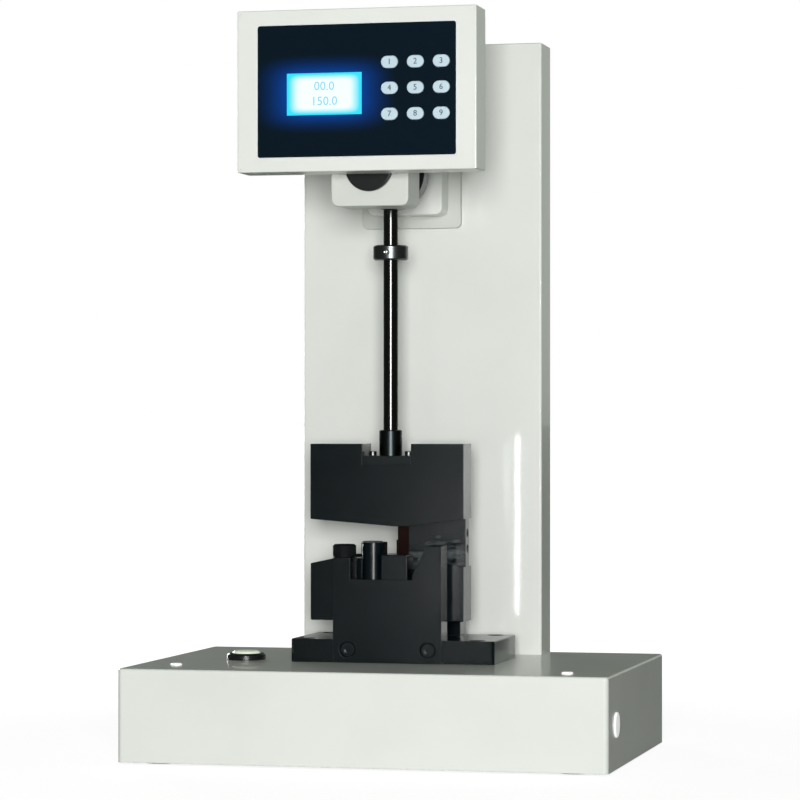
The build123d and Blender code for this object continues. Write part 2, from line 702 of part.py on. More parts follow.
with BuildPart() as latch_lever:
    with BuildSketch(Plane.XZ.offset(-(swing_y - 20.5))):
        with Locations((latch_x, latch_z)):
            Circle(6)
        with BuildLine():
            Polyline((latch_x, latch_z - 5.5), (axis_x - 47, axis_z + 41), (axis_x - 47, axis_z + 48),
                     (latch_x, latch_z + 5.5), close=True)
        make_face()
        with Locations((axis_x - 47, axis_z + 44.5)):
            Circle(5)
        with Locations((latch_x, latch_z)):
            Circle(2.5, mode=Mode.SUBTRACT)
    extrude(amount=-4.5)
    with BuildSketch(Plane.XZ.offset(-(swing_y - 20.5))):
        with Locations((axis_x - 47, axis_z + 44.5)):
            Circle(5)
    extrude(amount=14, taper=-4)
    fillet(latch_lever.faces().sort_by(Axis.Y)[0].edges(), 2)
keep(latch_lever, "latch_lever")

# Control box: a shallow housing with a back cover, a dark front panel, a display and nine keys.
box_mid_x, box_mid_z = (box_x0 + box_x1) / 2, (box_z0 + box_z1) / 2
panel_x0, panel_x1, panel_z0, panel_z1 = -121.5, 93, 634, 773.5
key_spots = [(x, z) for z in (732, 705, 678) for x in (21.4, 49, 76.6)]
lcd_spot = (-49, 700.5)
arm_spots = [(axis_x + sx * 28, 695 + sz * 22) for sx in (-1, 1) for sz in (-1, 1)]
box_screw_spots = [(box_mid_x + sx * 119, box_mid_z + sz * 76) for sx in (-1, 1) for sz in (-1, 1)]
with BuildPart() as box_housing:
    with BuildSketch(Plane.XZ.offset(-box_front)):
        with Locations((box_mid_x, box_mid_z)):
            RectangleRounded(box_x1 - box_x0, box_z1 - box_z0, 9)
    extrude(amount=-(box_back - box_front))
    fillet(box_housing.faces().sort_by(Axis.Y)[0].edges(), 2.5)
    with BuildSketch(Plane.XZ.offset(-box_front - 5)):
        with Locations((box_mid_x, box_mid_z)):
            RectangleRounded(box_x1 - box_x0 - 6, box_z1 - box_z0 - 6, 6)
    extrude(amount=-(box_back - box_front), mode=Mode.SUBTRACT)
    with BuildSketch(Plane.XZ.offset(-box_front)):
        with Locations(((panel_x0 + panel_x1) / 2, (panel_z0 + panel_z1) / 2)):
            RectangleRounded(panel_x1 - panel_x0, panel_z1 - panel_z0, 3)
    extrude(amount=-6, mode=Mode.SUBTRACT)
    with BuildSketch(Plane.XZ.offset(-box_front - 5)):
        with Locations(*box_screw_spots):
            Circle(5)
    extrude(amount=-(box_back - box_front - 8))
    with BuildSketch(Plane.XZ.offset(-box_back + 19)):
        with Locations(*box_screw_spots):
            Circle(1.6)
    extrude(amount=-16, mode=Mode.SUBTRACT)
keep(box_housing, "box_housing")

key_l, key_h = 17.9, 12.7
lcd_w, lcd_h = 81, 44
with BuildPart() as front_panel:
    with BuildSketch(Plane.XZ.offset(-box_front - 0.8)):
        with Locations(((panel_x0 + panel_x1) / 2, (panel_z0 + panel_z1) / 2)):
            RectangleRounded(panel_x1 - panel_x0 - 0.4, panel_z1 - panel_z0 - 0.4, 2.8)
        with Locations(*key_spots):
            SlotOverall(key_l + 0.6, key_h + 0.6, mode=Mode.SUBTRACT)
        with Locations(lcd_spot):
            Rectangle(lcd_w, lcd_h, mode=Mode.SUBTRACT)
    extrude(amount=-2.2)
    with BuildSketch(Plane.XZ.offset(-box_front - 3)):
        with Locations(((panel_x0 + panel_x1) / 2, (panel_z0 + panel_z1) / 2)):
            RectangleRounded(panel_x1 - panel_x0 - 0.4, panel_z1 - panel_z0 - 0.4, 2.8)
            Rectangle(panel_x1 - panel_x0 - 8, panel_z1 - panel_z0 - 8, mode=Mode.SUBTRACT)
    extrude(amount=-2)
keep(front_panel, "front_panel")

with BuildPart() as key_board:
    with BuildSketch(Plane.XZ.offset(-box_front - 5)):
        with Locations(((panel_x0 + panel_x1) / 2, (panel_z0 + panel_z1) / 2)):
            Rectangle(panel_x1 - panel_x0 + 6, panel_z1 - panel_z0 + 6)
    extrude(amount=-1.6)
keep(key_board, "key_board")

with BuildPart() as lcd_glass:
    with BuildSketch(Plane.XZ.offset(-box_front - 1.2)):
        with Locations(lcd_spot):
            Rectangle(lcd_w - 0.4, lcd_h - 0.4)
    extrude(amount=-3.8)
keep(lcd_glass, "lcd_glass")

for number, key_spot in enumerate(key_spots, 1):
    with BuildPart() as key:
        with BuildSketch(Plane.XZ.offset(-box_front - 3.1)):
            with Locations(key_spot):
                SlotOverall(key_l + 2.4, key_h + 2.4)
        extrude(amount=-0.9)
        with BuildSketch(Plane.XZ.offset(-box_front - 3.1)):
            with Locations(key_spot):
                SlotOverall(key_l, key_h)
        extrude(amount=3.7)
        fillet(key.faces().sort_by(Axis.Y)[0].edges(), 0.6)
    keep(key, "key_" + str(number))

with BuildPart() as box_back_cover:
    with BuildSketch(Plane.XZ.offset(-box_back)):
        with Locations((box_mid_x, box_mid_z)):
            RectangleRounded(box_x1 - box_x0 - 6.6, box_z1 - box_z0 - 6.6, 5.7)
        with Locations(*box_screw_spots):
            Circle(2.1, mode=Mode.SUBTRACT)
        with Locations(*arm_spots):
            Circle(2.6, mode=Mode.SUBTRACT)
    extrude(amount=3)
    with BuildSketch(Plane.XZ.offset(-box_back)):
        with Locations((box_mid_x - 70, box_mid_z)):
            with GridLocations(0, 9, 1, 6):
                SlotOverall(44, 3.2)
    extrude(amount=3, mode=Mode.SUBTRACT)
keep(box_back_cover, "box_back_cover")

cover_spots = [(col_mid + sx * (col_x1 - col_x0 - 12) / 2, 440 + sz * 310) for sx in (-1, 1) for sz in (-1, 0, 1)]
cover_screws = together(
    screw_heads([(-x, z) for x, z in box_screw_spots], back_plane(box_back), 3.5, 2.4, 1.5, 14),
    screw_heads([(-x, z) for x, z in cover_spots], back_plane(col_back), 3.5, 2.4, 1.9, 10),
    screw_heads([(axis_x + 4, -swing_y - 8), (axis_x + 4, -swing_y + 8)],
                Plane.XY.offset(bridge_z0 - 4).rotated((180, 0, 0)), 3.5, 2.4, 1.9, 8))
keep(cover_screws, "cover_screws")

# The arm between the box and the front block is a thick plate, screwed from inside the box.
with BuildPart() as box_arm:
    with BuildSketch(Plane.XZ.offset(-front_y0)):
        with Locations((axis_x, 695)):
            RectangleRounded(76, 64, 5)
            Circle(19, mode=Mode.SUBTRACT)
        with Locations(*arm_spots):
            Circle(2.5, mode=Mode.SUBTRACT)
    extrude(amount=front_y0 - box_back)
keep(box_arm, "box_arm")

arm_screws = screw_heads(arm_spots, Plane.XZ.offset(-box_back + 3), 4.25, 5, 2.4, 11)
keep(arm_screws, "arm_screws")

for piece in finished:
    export_step(piece, "parts/" + piece.label + ".step")
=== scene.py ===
import math

import bpy
from mathutils import Matrix, Vector


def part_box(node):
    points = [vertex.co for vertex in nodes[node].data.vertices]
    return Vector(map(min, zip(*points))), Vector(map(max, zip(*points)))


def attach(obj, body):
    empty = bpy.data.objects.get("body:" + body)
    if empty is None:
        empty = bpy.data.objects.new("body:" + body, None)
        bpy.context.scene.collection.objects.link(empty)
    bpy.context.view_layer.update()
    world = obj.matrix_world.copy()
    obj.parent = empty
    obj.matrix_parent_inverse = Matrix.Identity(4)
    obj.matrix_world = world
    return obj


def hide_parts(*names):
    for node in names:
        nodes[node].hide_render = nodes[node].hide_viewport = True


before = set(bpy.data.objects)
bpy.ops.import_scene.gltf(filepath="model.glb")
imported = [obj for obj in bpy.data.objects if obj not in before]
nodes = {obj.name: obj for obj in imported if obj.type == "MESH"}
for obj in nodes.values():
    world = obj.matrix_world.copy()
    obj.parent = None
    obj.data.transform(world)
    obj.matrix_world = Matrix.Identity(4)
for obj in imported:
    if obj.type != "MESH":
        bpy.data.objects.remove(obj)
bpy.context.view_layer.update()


# Base cover: sheet steel, open below, folded and welded, then sprayed off-white with a slight gloss.
# It drops over the casting. The effects that most finishes share are made here: edge_mask finds and
# rounds the edges, and grain is a noise in object coordinates.
edge_mask = bpy.data.node_groups.new("edge_mask", "ShaderNodeTree")
edge_mask.interface.new_socket("Radius", in_out="INPUT", socket_type="NodeSocketFloat").default_value = 0.001
edge_mask.interface.new_socket("Mask", in_out="OUTPUT", socket_type="NodeSocketFloat")
edge_mask.interface.new_socket("Normal", in_out="OUTPUT", socket_type="NodeSocketVector")
inlet = edge_mask.nodes.new("NodeGroupInput")
outlet = edge_mask.nodes.new("NodeGroupOutput")
rounded = edge_mask.nodes.new("ShaderNodeBevel")
rounded.samples = 4
geometry = edge_mask.nodes.new("ShaderNodeNewGeometry")
dot = edge_mask.nodes.new("ShaderNodeVectorMath")
dot.operation = "DOT_PRODUCT"
spread = edge_mask.nodes.new("ShaderNodeMapRange")
spread.inputs["From Min"].default_value = 0.995
spread.inputs["From Max"].default_value = 0.80
edge_mask.links.new(inlet.outputs["Radius"], rounded.inputs["Radius"])
edge_mask.links.new(rounded.outputs["Normal"], dot.inputs[0])
edge_mask.links.new(geometry.outputs["Normal"], dot.inputs[1])
edge_mask.links.new(dot.outputs["Value"], spread.inputs["Value"])
edge_mask.links.new(spread.outputs["Result"], outlet.inputs["Mask"])
edge_mask.links.new(rounded.outputs["Normal"], outlet.inputs["Normal"])

grain = bpy.data.node_groups.new("grain", "ShaderNodeTree")
grain.interface.new_socket("Scale", in_out="INPUT", socket_type="NodeSocketFloat").default_value = 50
stretch_input = grain.interface.new_socket("Stretch", in_out="INPUT", socket_type="NodeSocketVector")
stretch_input.default_value = (1, 1, 1)
grain.interface.new_socket("Detail", in_out="INPUT", socket_type="NodeSocketFloat").default_value = 4
grain.interface.new_socket("Value", in_out="OUTPUT", socket_type="NodeSocketFloat")
inlet = grain.nodes.new("NodeGroupInput")
outlet = grain.nodes.new("NodeGroupOutput")
coords = grain.nodes.new("ShaderNodeTexCoord")
stretched = grain.nodes.new("ShaderNodeVectorMath")
stretched.operation = "MULTIPLY"
noise = grain.nodes.new("ShaderNodeTexNoise")
grain.links.new(coords.outputs["Object"], stretched.inputs[0])
grain.links.new(inlet.outputs["Stretch"], stretched.inputs[1])
grain.links.new(stretched.outputs["Vector"], noise.inputs["Vector"])
grain.links.new(inlet.outputs["Scale"], noise.inputs["Scale"])
grain.links.new(inlet.outputs["Detail"], noise.inputs["Detail"])
grain.links.new(noise.outputs["Fac"], outlet.inputs["Value"])


def new_material(name, color, rough, metallic=0.0):
    """A Principled material with a plain colour; gives the material, its tree and its shader."""
    mat = bpy.data.materials.new(name)
    mat.use_nodes = True
    shader = mat.node_tree.nodes["Principled BSDF"]
    shader.inputs["Base Color"].default_value = (*color, 1)
    shader.inputs["Roughness"].default_value = rough
    shader.inputs["Metallic"].default_value = metallic
    return mat, mat.node_tree, shader


def add_edge(tree, radius):
    """Place the edge_mask group with its own radius."""
    node = tree.nodes.new("ShaderNodeGroup")
    node.node_tree = edge_mask
    node.inputs["Radius"].default_value = radius
    return node


def add_grain(tree, scale, stretch=(1, 1, 1), detail=4):
    """Place the grain group and give its value."""
    node = tree.nodes.new("ShaderNodeGroup")
    node.node_tree = grain
    node.inputs["Scale"].default_value = scale
    node.inputs["Stretch"].default_value = stretch
    node.inputs["Detail"].default_value = detail
    return node.outputs["Value"]


def spread_value(tree, value, low, high, out_low=0.0, out_high=1.0):
    """Map the range low..high of a value to out_low..out_high, and clamp it there."""
    node = tree.nodes.new("ShaderNodeMapRange")
    node.inputs["From Min"].default_value = low
    node.inputs["From Max"].default_value = high
    node.inputs["To Min"].default_value = out_low
    node.inputs["To Max"].default_value = out_high
    tree.links.new(value, node.inputs["Value"])
    return node.outputs["Result"]


def mix_color(tree, fac, first, second):
    """Blend two colours, each a plain one or a socket."""
    node = tree.nodes.new("ShaderNodeMix")
    node.data_type = "RGBA"
    tree.links.new(fac, node.inputs["Factor"])
    for socket, value in ((node.inputs["A"], first), (node.inputs["B"], second)):
        if isinstance(value, tuple):
            socket.default_value = (*value, 1)
        else:
            tree.links.new(value, socket)
    return node.outputs["Result"]


def bump(tree, shader, value, strength, distance, normal=None):
    """Raise the surface by a value, over a rounded normal where one is given."""
    node = tree.nodes.new("ShaderNodeBump")
    node.inputs["Strength"].default_value = strength
    node.inputs["Distance"].default_value = distance
    tree.links.new(value, node.inputs["Height"])
    if normal:
        tree.links.new(normal, node.inputs["Normal"])
    tree.links.new(node.outputs["Normal"], shader.inputs["Normal"])


def finish(mat, *names):
    """Give CAD nodes their material."""
    for name in names:
        nodes[name].data.materials.clear()
        nodes[name].data.materials.append(mat)


paint_color, dusty_color = (0.75, 0.77, 0.73), (0.71, 0.73, 0.69)
paint_edge = 0.0012
paint, tree, shader = new_material("paint", paint_color, rough=0.28)
shader.inputs["Specular IOR Level"].default_value = 0.18
shader.inputs["Coat Weight"].default_value = 0.22
shader.inputs["Coat Roughness"].default_value = 0.03
edge = add_edge(tree, paint_edge)
dust = spread_value(tree, add_grain(tree, scale=9, detail=6), low=0.45, high=0.8)
tree.links.new(mix_color(tree, dust, paint_color, dusty_color), shader.inputs["Base Color"])
peel = add_grain(tree, scale=240, detail=2)
bump(tree, shader, peel, strength=0.012, distance=0.0004, normal=edge.outputs["Normal"])
finish(paint, "base_housing")


# Casting inside the base: grey iron, poured in a sand mould that leaves its skin rough. It carries
# the column, the support bed and the feet, and only its underside can be seen.
casting, tree, shader = new_material("casting", (0.08, 0.08, 0.08), rough=0.75)
bump(tree, shader, add_grain(tree, scale=300, detail=5), strength=0.5, distance=0.001)
finish(casting, "base_casting")


# Levelling feet: steel discs turned on a lathe, which leaves fine rings, each on a threaded stem that
# screws into the casting. The bare steel is the finish of the other ground pieces too.
steel, tree, shader = new_material("steel", (0.42, 0.43, 0.43), rough=0.32, metallic=1.0)
edge = add_edge(tree, radius=0.0006)
turned = add_grain(tree, scale=900, stretch=(0.2, 1, 1), detail=3)
bump(tree, shader, turned, strength=0.08, distance=0.0002, normal=edge.outputs["Normal"])
finish(steel, "foot_front_left", "foot_front_right", "foot_back_left", "foot_back_right")


# Plugs: white plastic caps pressed into holes of the base cover, two on top and one at the right.
# They are given a painted glow, an emission, so they look brighter than the paint round them.
plug_white_glow, tree, shader = new_material("plug_white_glow", (0.95, 0.95, 0.94), rough=0.35)
# Painted glow: an emission makes the plugs brighter.
shader.inputs["Emission Color"].default_value = (1, 1, 0.98, 1)
shader.inputs["Emission Strength"].default_value = 0.4
finish(plug_white_glow, "cover_plugs")


# Mains inlet with its rocker, at the back of the base: black plastic, moulded with a fine grain and
# held in a cut-out of the cover.
black_plastic, tree, shader = new_material("black_plastic", (0.006, 0.008, 0.008), rough=0.28)
shader.inputs["Specular IOR Level"].default_value = 0.35
edge = add_edge(tree, radius=0.0008)
moulded = add_grain(tree, scale=1400, detail=2)
bump(tree, shader, moulded, strength=0.08, distance=0.0002, normal=edge.outputs["Normal"])
finish(black_plastic, "power_inlet", "power_rocker")


# Bubble level: a glass disc over a pale fluid, in a ring of black plastic on top of the base. The
# disc is given a painted glow, an emission, so it looks pale and bright.
clear_glass, tree, shader = new_material("clear_glass", (0.80, 0.86, 0.72), rough=0.05)
shader.inputs["Transmission Weight"].default_value = 0.25
# Painted glow: an emission makes the disc pale.
shader.inputs["Emission Color"].default_value = (0.70, 0.76, 0.62, 1)
shader.inputs["Emission Strength"].default_value = 0.35
finish(clear_glass, "level_glass")
finish(black_plastic, "level_ring")


# Column: a ribbed casting in the paint of the base, bolted down, and closed at the back by a flat
# cover. The screws of that cover are plated bright.
chrome = new_material("chrome", (0.75, 0.76, 0.76), rough=0.14, metallic=1.0)[0]
finish(paint, "column", "column_cover")
finish(chrome, "cover_screws")


# Bolts of the base and the bearing bracket, and screws of the box arm: steel with a skin of black
# oxide, which is thin and blotchy, bluish black, and lighter on the edges: partly rubbed wear, and
# partly a painted highlight where the edges catch the light.
def black_oxide(name):
    """The blackened steel; gives the material, its tree, its shader and its colour socket."""
    mat, tree, shader = new_material(name, (0.002, 0.005, 0.006), rough=0.25)
    shader.inputs["Specular IOR Level"].default_value = 0.3
    edge = add_edge(tree, radius=0.0011)
    blotches = spread_value(tree, add_grain(tree, scale=26, detail=6), low=0.35, high=0.7)
    skin = mix_color(tree, blotches, (0.0008, 0.0030, 0.0042), (0.0022, 0.0052, 0.0068))
    # Lighter edges: partly rubbed wear, partly a painted highlight where the edges catch the light.
    lighter_edges = spread_value(tree, edge.outputs["Mask"], low=0, high=1, out_high=0.5)
    skin_wear_and_sheen = mix_color(tree, lighter_edges, skin, (0.07, 0.08, 0.085))
    tree.links.new(skin_wear_and_sheen, shader.inputs["Base Color"])
    dull = spread_value(tree, add_grain(tree, scale=60), low=0.3, high=0.7, out_low=0.17, out_high=0.23)
    tree.links.new(dull, shader.inputs["Roughness"])
    milled = add_grain(tree, scale=700, stretch=(1, 1, 0.25), detail=3)
    bump(tree, shader, milled, strength=0.08, distance=0.0003, normal=edge.outputs["Normal"])
    return mat, tree, shader, skin_wear_and_sheen


oxide = black_oxide("black_oxide")[0]
finish(oxide, "base_bolts", "bracket_bolts", "arm_screws")


# Bearing bracket: a pad on the column, and two blocks that a bridge joins. The pad, the bridge and
# the front block get a darker, rougher material than the rear block, which has the paint of the column.
block_paint, tree, shader = new_material("block_paint", (0.60, 0.62, 0.58), rough=0.4)
shader.inputs["Specular IOR Level"].default_value = 0.25
edge = add_edge(tree, paint_edge)
peel = add_grain(tree, scale=240, detail=2)
bump(tree, shader, peel, strength=0.02, distance=0.0004, normal=edge.outputs["Normal"])
finish(block_paint, "bearing_pad", "front_block", "bridge")
finish(paint, "rear_block")


# Bearings: ground steel rings pressed into the blocks. The angle encoder is a round can of black
# plastic, fixed to the face of the front block.
finish(steel, "bearing_outers", "bearing_inners")
finish(black_plastic, "encoder")


# Latch: a steel pawl on a pin, in a bracket under the bridge, that drops into the notch of the hub
# disc. A black plastic lever lifts it.
finish(steel, "latch_bracket", "latch_pin", "latch_pawl")
finish(black_plastic, "latch_lever")


# Support bed: the flange bolted to the base, the twin uprights screwed to it, and the anvils and
# seats that hold the specimen. All are machined from steel and blackened.
finish(oxide, "support_flange", "front_support", "rear_support", "support_screws", "anvils", "specimen_seats")


# Clamp screws of the uprights: large cap heads of blackened steel that hold the anvils down. They are
# knurled, so they look matt. A node group makes the knurl, a ring of fine upright ribs let into the
# side of each head.
knurled, tree, shader = new_material("knurled_black", (0.002, 0.004, 0.004), rough=0.6)
shader.inputs["Specular IOR Level"].default_value = 0.15
edge = add_edge(tree, radius=0.0008)
pressed = add_grain(tree, scale=800, stretch=(1, 1, 0.05), detail=1)
bump(tree, shader, pressed, strength=0.4, distance=0.0004, normal=edge.outputs["Normal"])
finish(knurled, "clamp_screws")

knurl = bpy.data.node_groups.new("knurl", "GeometryNodeTree")
knurl.interface.new_socket("Radius", in_out="INPUT", socket_type="NodeSocketFloat").default_value = 0.01
knurl.interface.new_socket("Height", in_out="INPUT", socket_type="NodeSocketFloat").default_value = 0.01
knurl.interface.new_socket("Rib", in_out="INPUT", socket_type="NodeSocketFloat").default_value = 0.0004
knurl.interface.new_socket("Ribs", in_out="INPUT", socket_type="NodeSocketInt").default_value = 60
knurl.interface.new_socket("Material", in_out="INPUT", socket_type="NodeSocketMaterial")
knurl.interface.new_socket("Geometry", in_out="OUTPUT", socket_type="NodeSocketGeometry")
inlet = knurl.nodes.new("NodeGroupInput")
outlet = knurl.nodes.new("NodeGroupOutput")
circle = knurl.nodes.new("GeometryNodeMeshCircle")
rib = knurl.nodes.new("GeometryNodeMeshCylinder")
rib.inputs["Vertices"].default_value = 6
spots = knurl.nodes.new("GeometryNodeInstanceOnPoints")
real = knurl.nodes.new("GeometryNodeRealizeInstances")
blacken = knurl.nodes.new("GeometryNodeSetMaterial")
knurl.links.new(inlet.outputs["Ribs"], circle.inputs["Vertices"])
knurl.links.new(inlet.outputs["Radius"], circle.inputs["Radius"])
knurl.links.new(inlet.outputs["Rib"], rib.inputs["Radius"])
knurl.links.new(inlet.outputs["Height"], rib.inputs["Depth"])
knurl.links.new(circle.outputs["Mesh"], spots.inputs["Points"])
knurl.links.new(rib.outputs["Mesh"], spots.inputs["Instance"])
knurl.links.new(spots.outputs["Instances"], real.inputs["Geometry"])
knurl.links.new(real.outputs["Geometry"], blacken.inputs["Geometry"])
knurl.links.new(inlet.outputs["Material"], blacken.inputs["Material"])
knurl.links.new(blacken.outputs["Geometry"], outlet.inputs["Geometry"])
knurl_inputs = {item.name: item.identifier for item in knurl.interface.items_tree if item.in_out == "INPUT"}


def plain_mesh(maker):
    """The evaluated shape of an object as a plain mesh. The object itself is removed."""
    bpy.context.view_layer.update()
    mesh = bpy.data.meshes.new_from_object(maker.evaluated_get(bpy.context.evaluated_depsgraph_get()))
    bpy.data.objects.remove(maker)
    return mesh


def new_piece(name, mesh):
    """Link a finished mesh as a piece at the origin."""
    piece = bpy.data.objects.new(name, mesh)
    bpy.context.collection.objects.link(piece)
    return piece


head_r, head_h = 0.0123, 0.0135
head_chamfer = 0.0015
rib_inset = 0.0001
low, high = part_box("clamp_screws")
for end, x, y in (("front", low[0] + head_r, low[1] + head_r),
                  ("rear", high[0] - head_r, high[1] - head_r)):
    maker = new_piece("knurl_maker", bpy.data.meshes.new("knurl_maker"))
    modifier = maker.modifiers.new("knurl", "NODES")
    modifier.node_group = knurl
    modifier[knurl_inputs["Radius"]] = head_r - rib_inset
    modifier[knurl_inputs["Height"]] = head_h - 2 * head_chamfer
    modifier[knurl_inputs["Rib"]] = 0.00042
    modifier[knurl_inputs["Ribs"]] = 62
    modifier[knurl_inputs["Material"]] = knurled
    ribs_mesh = plain_mesh(maker)
    ribs_mesh.transform(Matrix.Translation((x, y, high[2] - head_h / 2)))
    ribs = new_piece("clamp_knurl_" + end, ribs_mesh)
    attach(ribs, "stand")


# Pendulum: a ground shaft with a hub disc, and a rod of polished dark steel that is screwed into a
# socket above the hammer. The hub disc and the socket are darker turned steel. The balance ring on
# the rod is dark steel, lighter on its edges, and a small bright screw holds it.
finish(steel, "shaft")
rod_steel, tree, shader = new_material("rod_steel", (0.045, 0.048, 0.045), rough=0.16, metallic=1.0)
polished = add_grain(tree, scale=500, stretch=(1, 1, 6), detail=2)
bump(tree, shader, polished, strength=0.04, distance=0.0002)
finish(rod_steel, "rod")

ring_color, ring_edge_color = (0.10, 0.11, 0.11), (0.25, 0.26, 0.26)
dark_steel, tree, shader = new_material("dark_steel", ring_color, rough=0.3, metallic=1.0)
edge = add_edge(tree, radius=0.0008)
lighter_edges = spread_value(tree, edge.outputs["Mask"], low=0, high=1, out_high=0.5)
tree.links.new(mix_color(tree, lighter_edges, ring_color, ring_edge_color), shader.inputs["Base Color"])
turned = add_grain(tree, scale=900, stretch=(1, 1, 4), detail=3)
bump(tree, shader, turned, strength=0.08, distance=0.0002, normal=edge.outputs["Normal"])
finish(dark_steel, "balance_ring")
finish(chrome, "ring_set_screw")

socket_steel, tree, shader = new_material("socket_steel", (0.022, 0.026, 0.027), rough=0.3, metallic=1.0)
edge = add_edge(tree, radius=0.0008)
turned = add_grain(tree, scale=900, stretch=(1, 1, 4), detail=3)
bump(tree, shader, turned, strength=0.08, distance=0.0002, normal=edge.outputs["Normal"])
finish(socket_steel, "rod_socket", "hub_disc")


# Hammer: the C-shaped mass, machined from steel and blackened. Broken specimens rubbed its web lighter
# beside the striker, an insert of hardened steel that was tempered to a dark brown and is screwed in.
hammer_oxide, tree, shader, skin_wear_and_sheen = black_oxide("hammer_oxide")
coords = tree.nodes.new("ShaderNodeTexCoord")
axes = tree.nodes.new("ShaderNodeSeparateXYZ")
tree.links.new(coords.outputs["Object"], axes.inputs["Vector"])
above_floor = spread_value(tree, axes.outputs["Z"], low=0.196, high=0.214)
below_jaw = spread_value(tree, axes.outputs["Z"], low=0.246, high=0.236)
from_nose = spread_value(tree, axes.outputs["X"], low=0.002, high=0.012)
rubbed = spread_value(tree, add_grain(tree, scale=45, stretch=(0.5, 1, 2.2), detail=7), low=0.50, high=0.72)
for limit in (above_floor, below_jaw, from_nose):
    product = tree.nodes.new("ShaderNodeMath")
    product.operation = "MULTIPLY"
    tree.links.new(rubbed, product.inputs[0])
    tree.links.new(limit, product.inputs[1])
    rubbed = product.outputs["Value"]
tree.links.new(mix_color(tree, rubbed, skin_wear_and_sheen, (0.10, 0.12, 0.125)), shader.inputs["Base Color"])
finish(hammer_oxide, "hammer")

tempered, tree, shader = new_material("tempered_steel", (0.022, 0.008, 0.006), rough=0.3, metallic=0.5)
tree.links.new(add_edge(tree, radius=0.0005).outputs["Normal"], shader.inputs["Normal"])
finish(tempered, "striker")
finish(dark_steel, "hammer_screws")


# Control box: a housing of folded sheet in the base's paint, on an arm that is screwed to the front
# block, with a flat back cover. Its corners are crisper than those of its CAD solid, so a thin square
# sleeve is joined to a copy of that solid and fills them.
finish(paint, "box_housing", "box_back_cover", "box_arm")
proud = 0.00005
sleeve_wall = 0.0029
hole_reach = 0.02
low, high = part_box("box_housing")
shell_front = low[1] - proud
box_mid = [(a + b) / 2 for a, b in zip(low, high)]
wide, deep, tall = [b - a for a, b in zip(low, high)]
outer_size = (wide + 2 * proud, deep, tall + 2 * proud)
hole_size = (wide - 2 * sleeve_wall, deep + 2 * sleeve_wall + hole_reach, tall - 2 * sleeve_wall)
sleeve = []
for size in (outer_size, hole_size):
    bpy.ops.mesh.primitive_cube_add(size=1)
    block = bpy.context.object
    block.data.transform(Matrix.Translation(box_mid) @ Matrix.Diagonal((*size, 1)))
    sleeve.append(block)
outer, hole = sleeve
rounding = outer.modifiers.new("rounding", "BEVEL")
rounding.width = 0.0012
rounding.segments = 4
cut = outer.modifiers.new("cut", "BOOLEAN")
cut.operation = "DIFFERENCE"
cut.object = hole
join = outer.modifiers.new("join", "BOOLEAN")
join.operation = "UNION"
join.object = nodes["box_housing"]
shell_mesh = plain_mesh(outer)
bpy.data.objects.remove(hole)
shell_mesh.materials.clear()
shell_mesh.materials.append(paint)
shell_mesh.polygons.foreach_set("material_index", [0] * len(shell_mesh.polygons))
box_shell = new_piece("box_shell", shell_mesh)
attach(box_shell, "stand")
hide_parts("box_housing")


# Bead: a thin moulding of white plastic, pressed into the joint between the panel and the housing and
# turned round the panel's four corners.
bead_r, turn_r = 0.0005, 0.003
turn_steps = 5
white_plastic, tree, shader = new_material("white_plastic", (0.80, 0.83, 0.83), rough=0.35)
tree.links.new(add_edge(tree, radius=0.0006).outputs["Normal"], shader.inputs["Normal"])
low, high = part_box("front_panel")
left, right = low[0] + turn_r, high[0] - turn_r
bottom, top = low[2] + turn_r, high[2] - turn_r
path = []
for x, z, start in ((right, top, 0), (left, top, 90), (left, bottom, 180), (right, bottom, 270)):
    for step in range(turn_steps + 1):
        turn = math.radians(start + step * 90 / turn_steps)
        path.append((x + turn_r * math.cos(turn), shell_front, z + turn_r * math.sin(turn), 1))
curve = bpy.data.curves.new("bead", "CURVE")
curve.dimensions = "3D"
curve.bevel_depth = bead_r
curve.bevel_resolution = 2
line = curve.splines.new("POLY")
line.points.add(len(path) - 1)
for point, spot in zip(line.points, path):
    point.co = spot
line.use_cyclic_u = True
bead_mesh = plain_mesh(new_piece("bead_curve", curve))
bead_mesh.materials.clear()
bead_mesh.materials.append(white_plastic)
bead_mesh.polygons.foreach_set("use_smooth", [True] * len(bead_mesh.polygons))
panel_bead = new_piece("panel_bead", bead_mesh)
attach(panel_bead, "stand")


# Display and panel: a lit screen behind a glossy dark blue film, and the green board of the keys
# behind it. Round the screen the film has a painted glow, an emission. The film is stuck over both,
# inside the bead.
lcd_low, lcd_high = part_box("lcd_glass")
lcd_mid = [(a + b) / 2 for a, b in zip(lcd_low, lcd_high)]
lcd_half = [(b - a) / 2 for a, b in zip(lcd_low, lcd_high)]


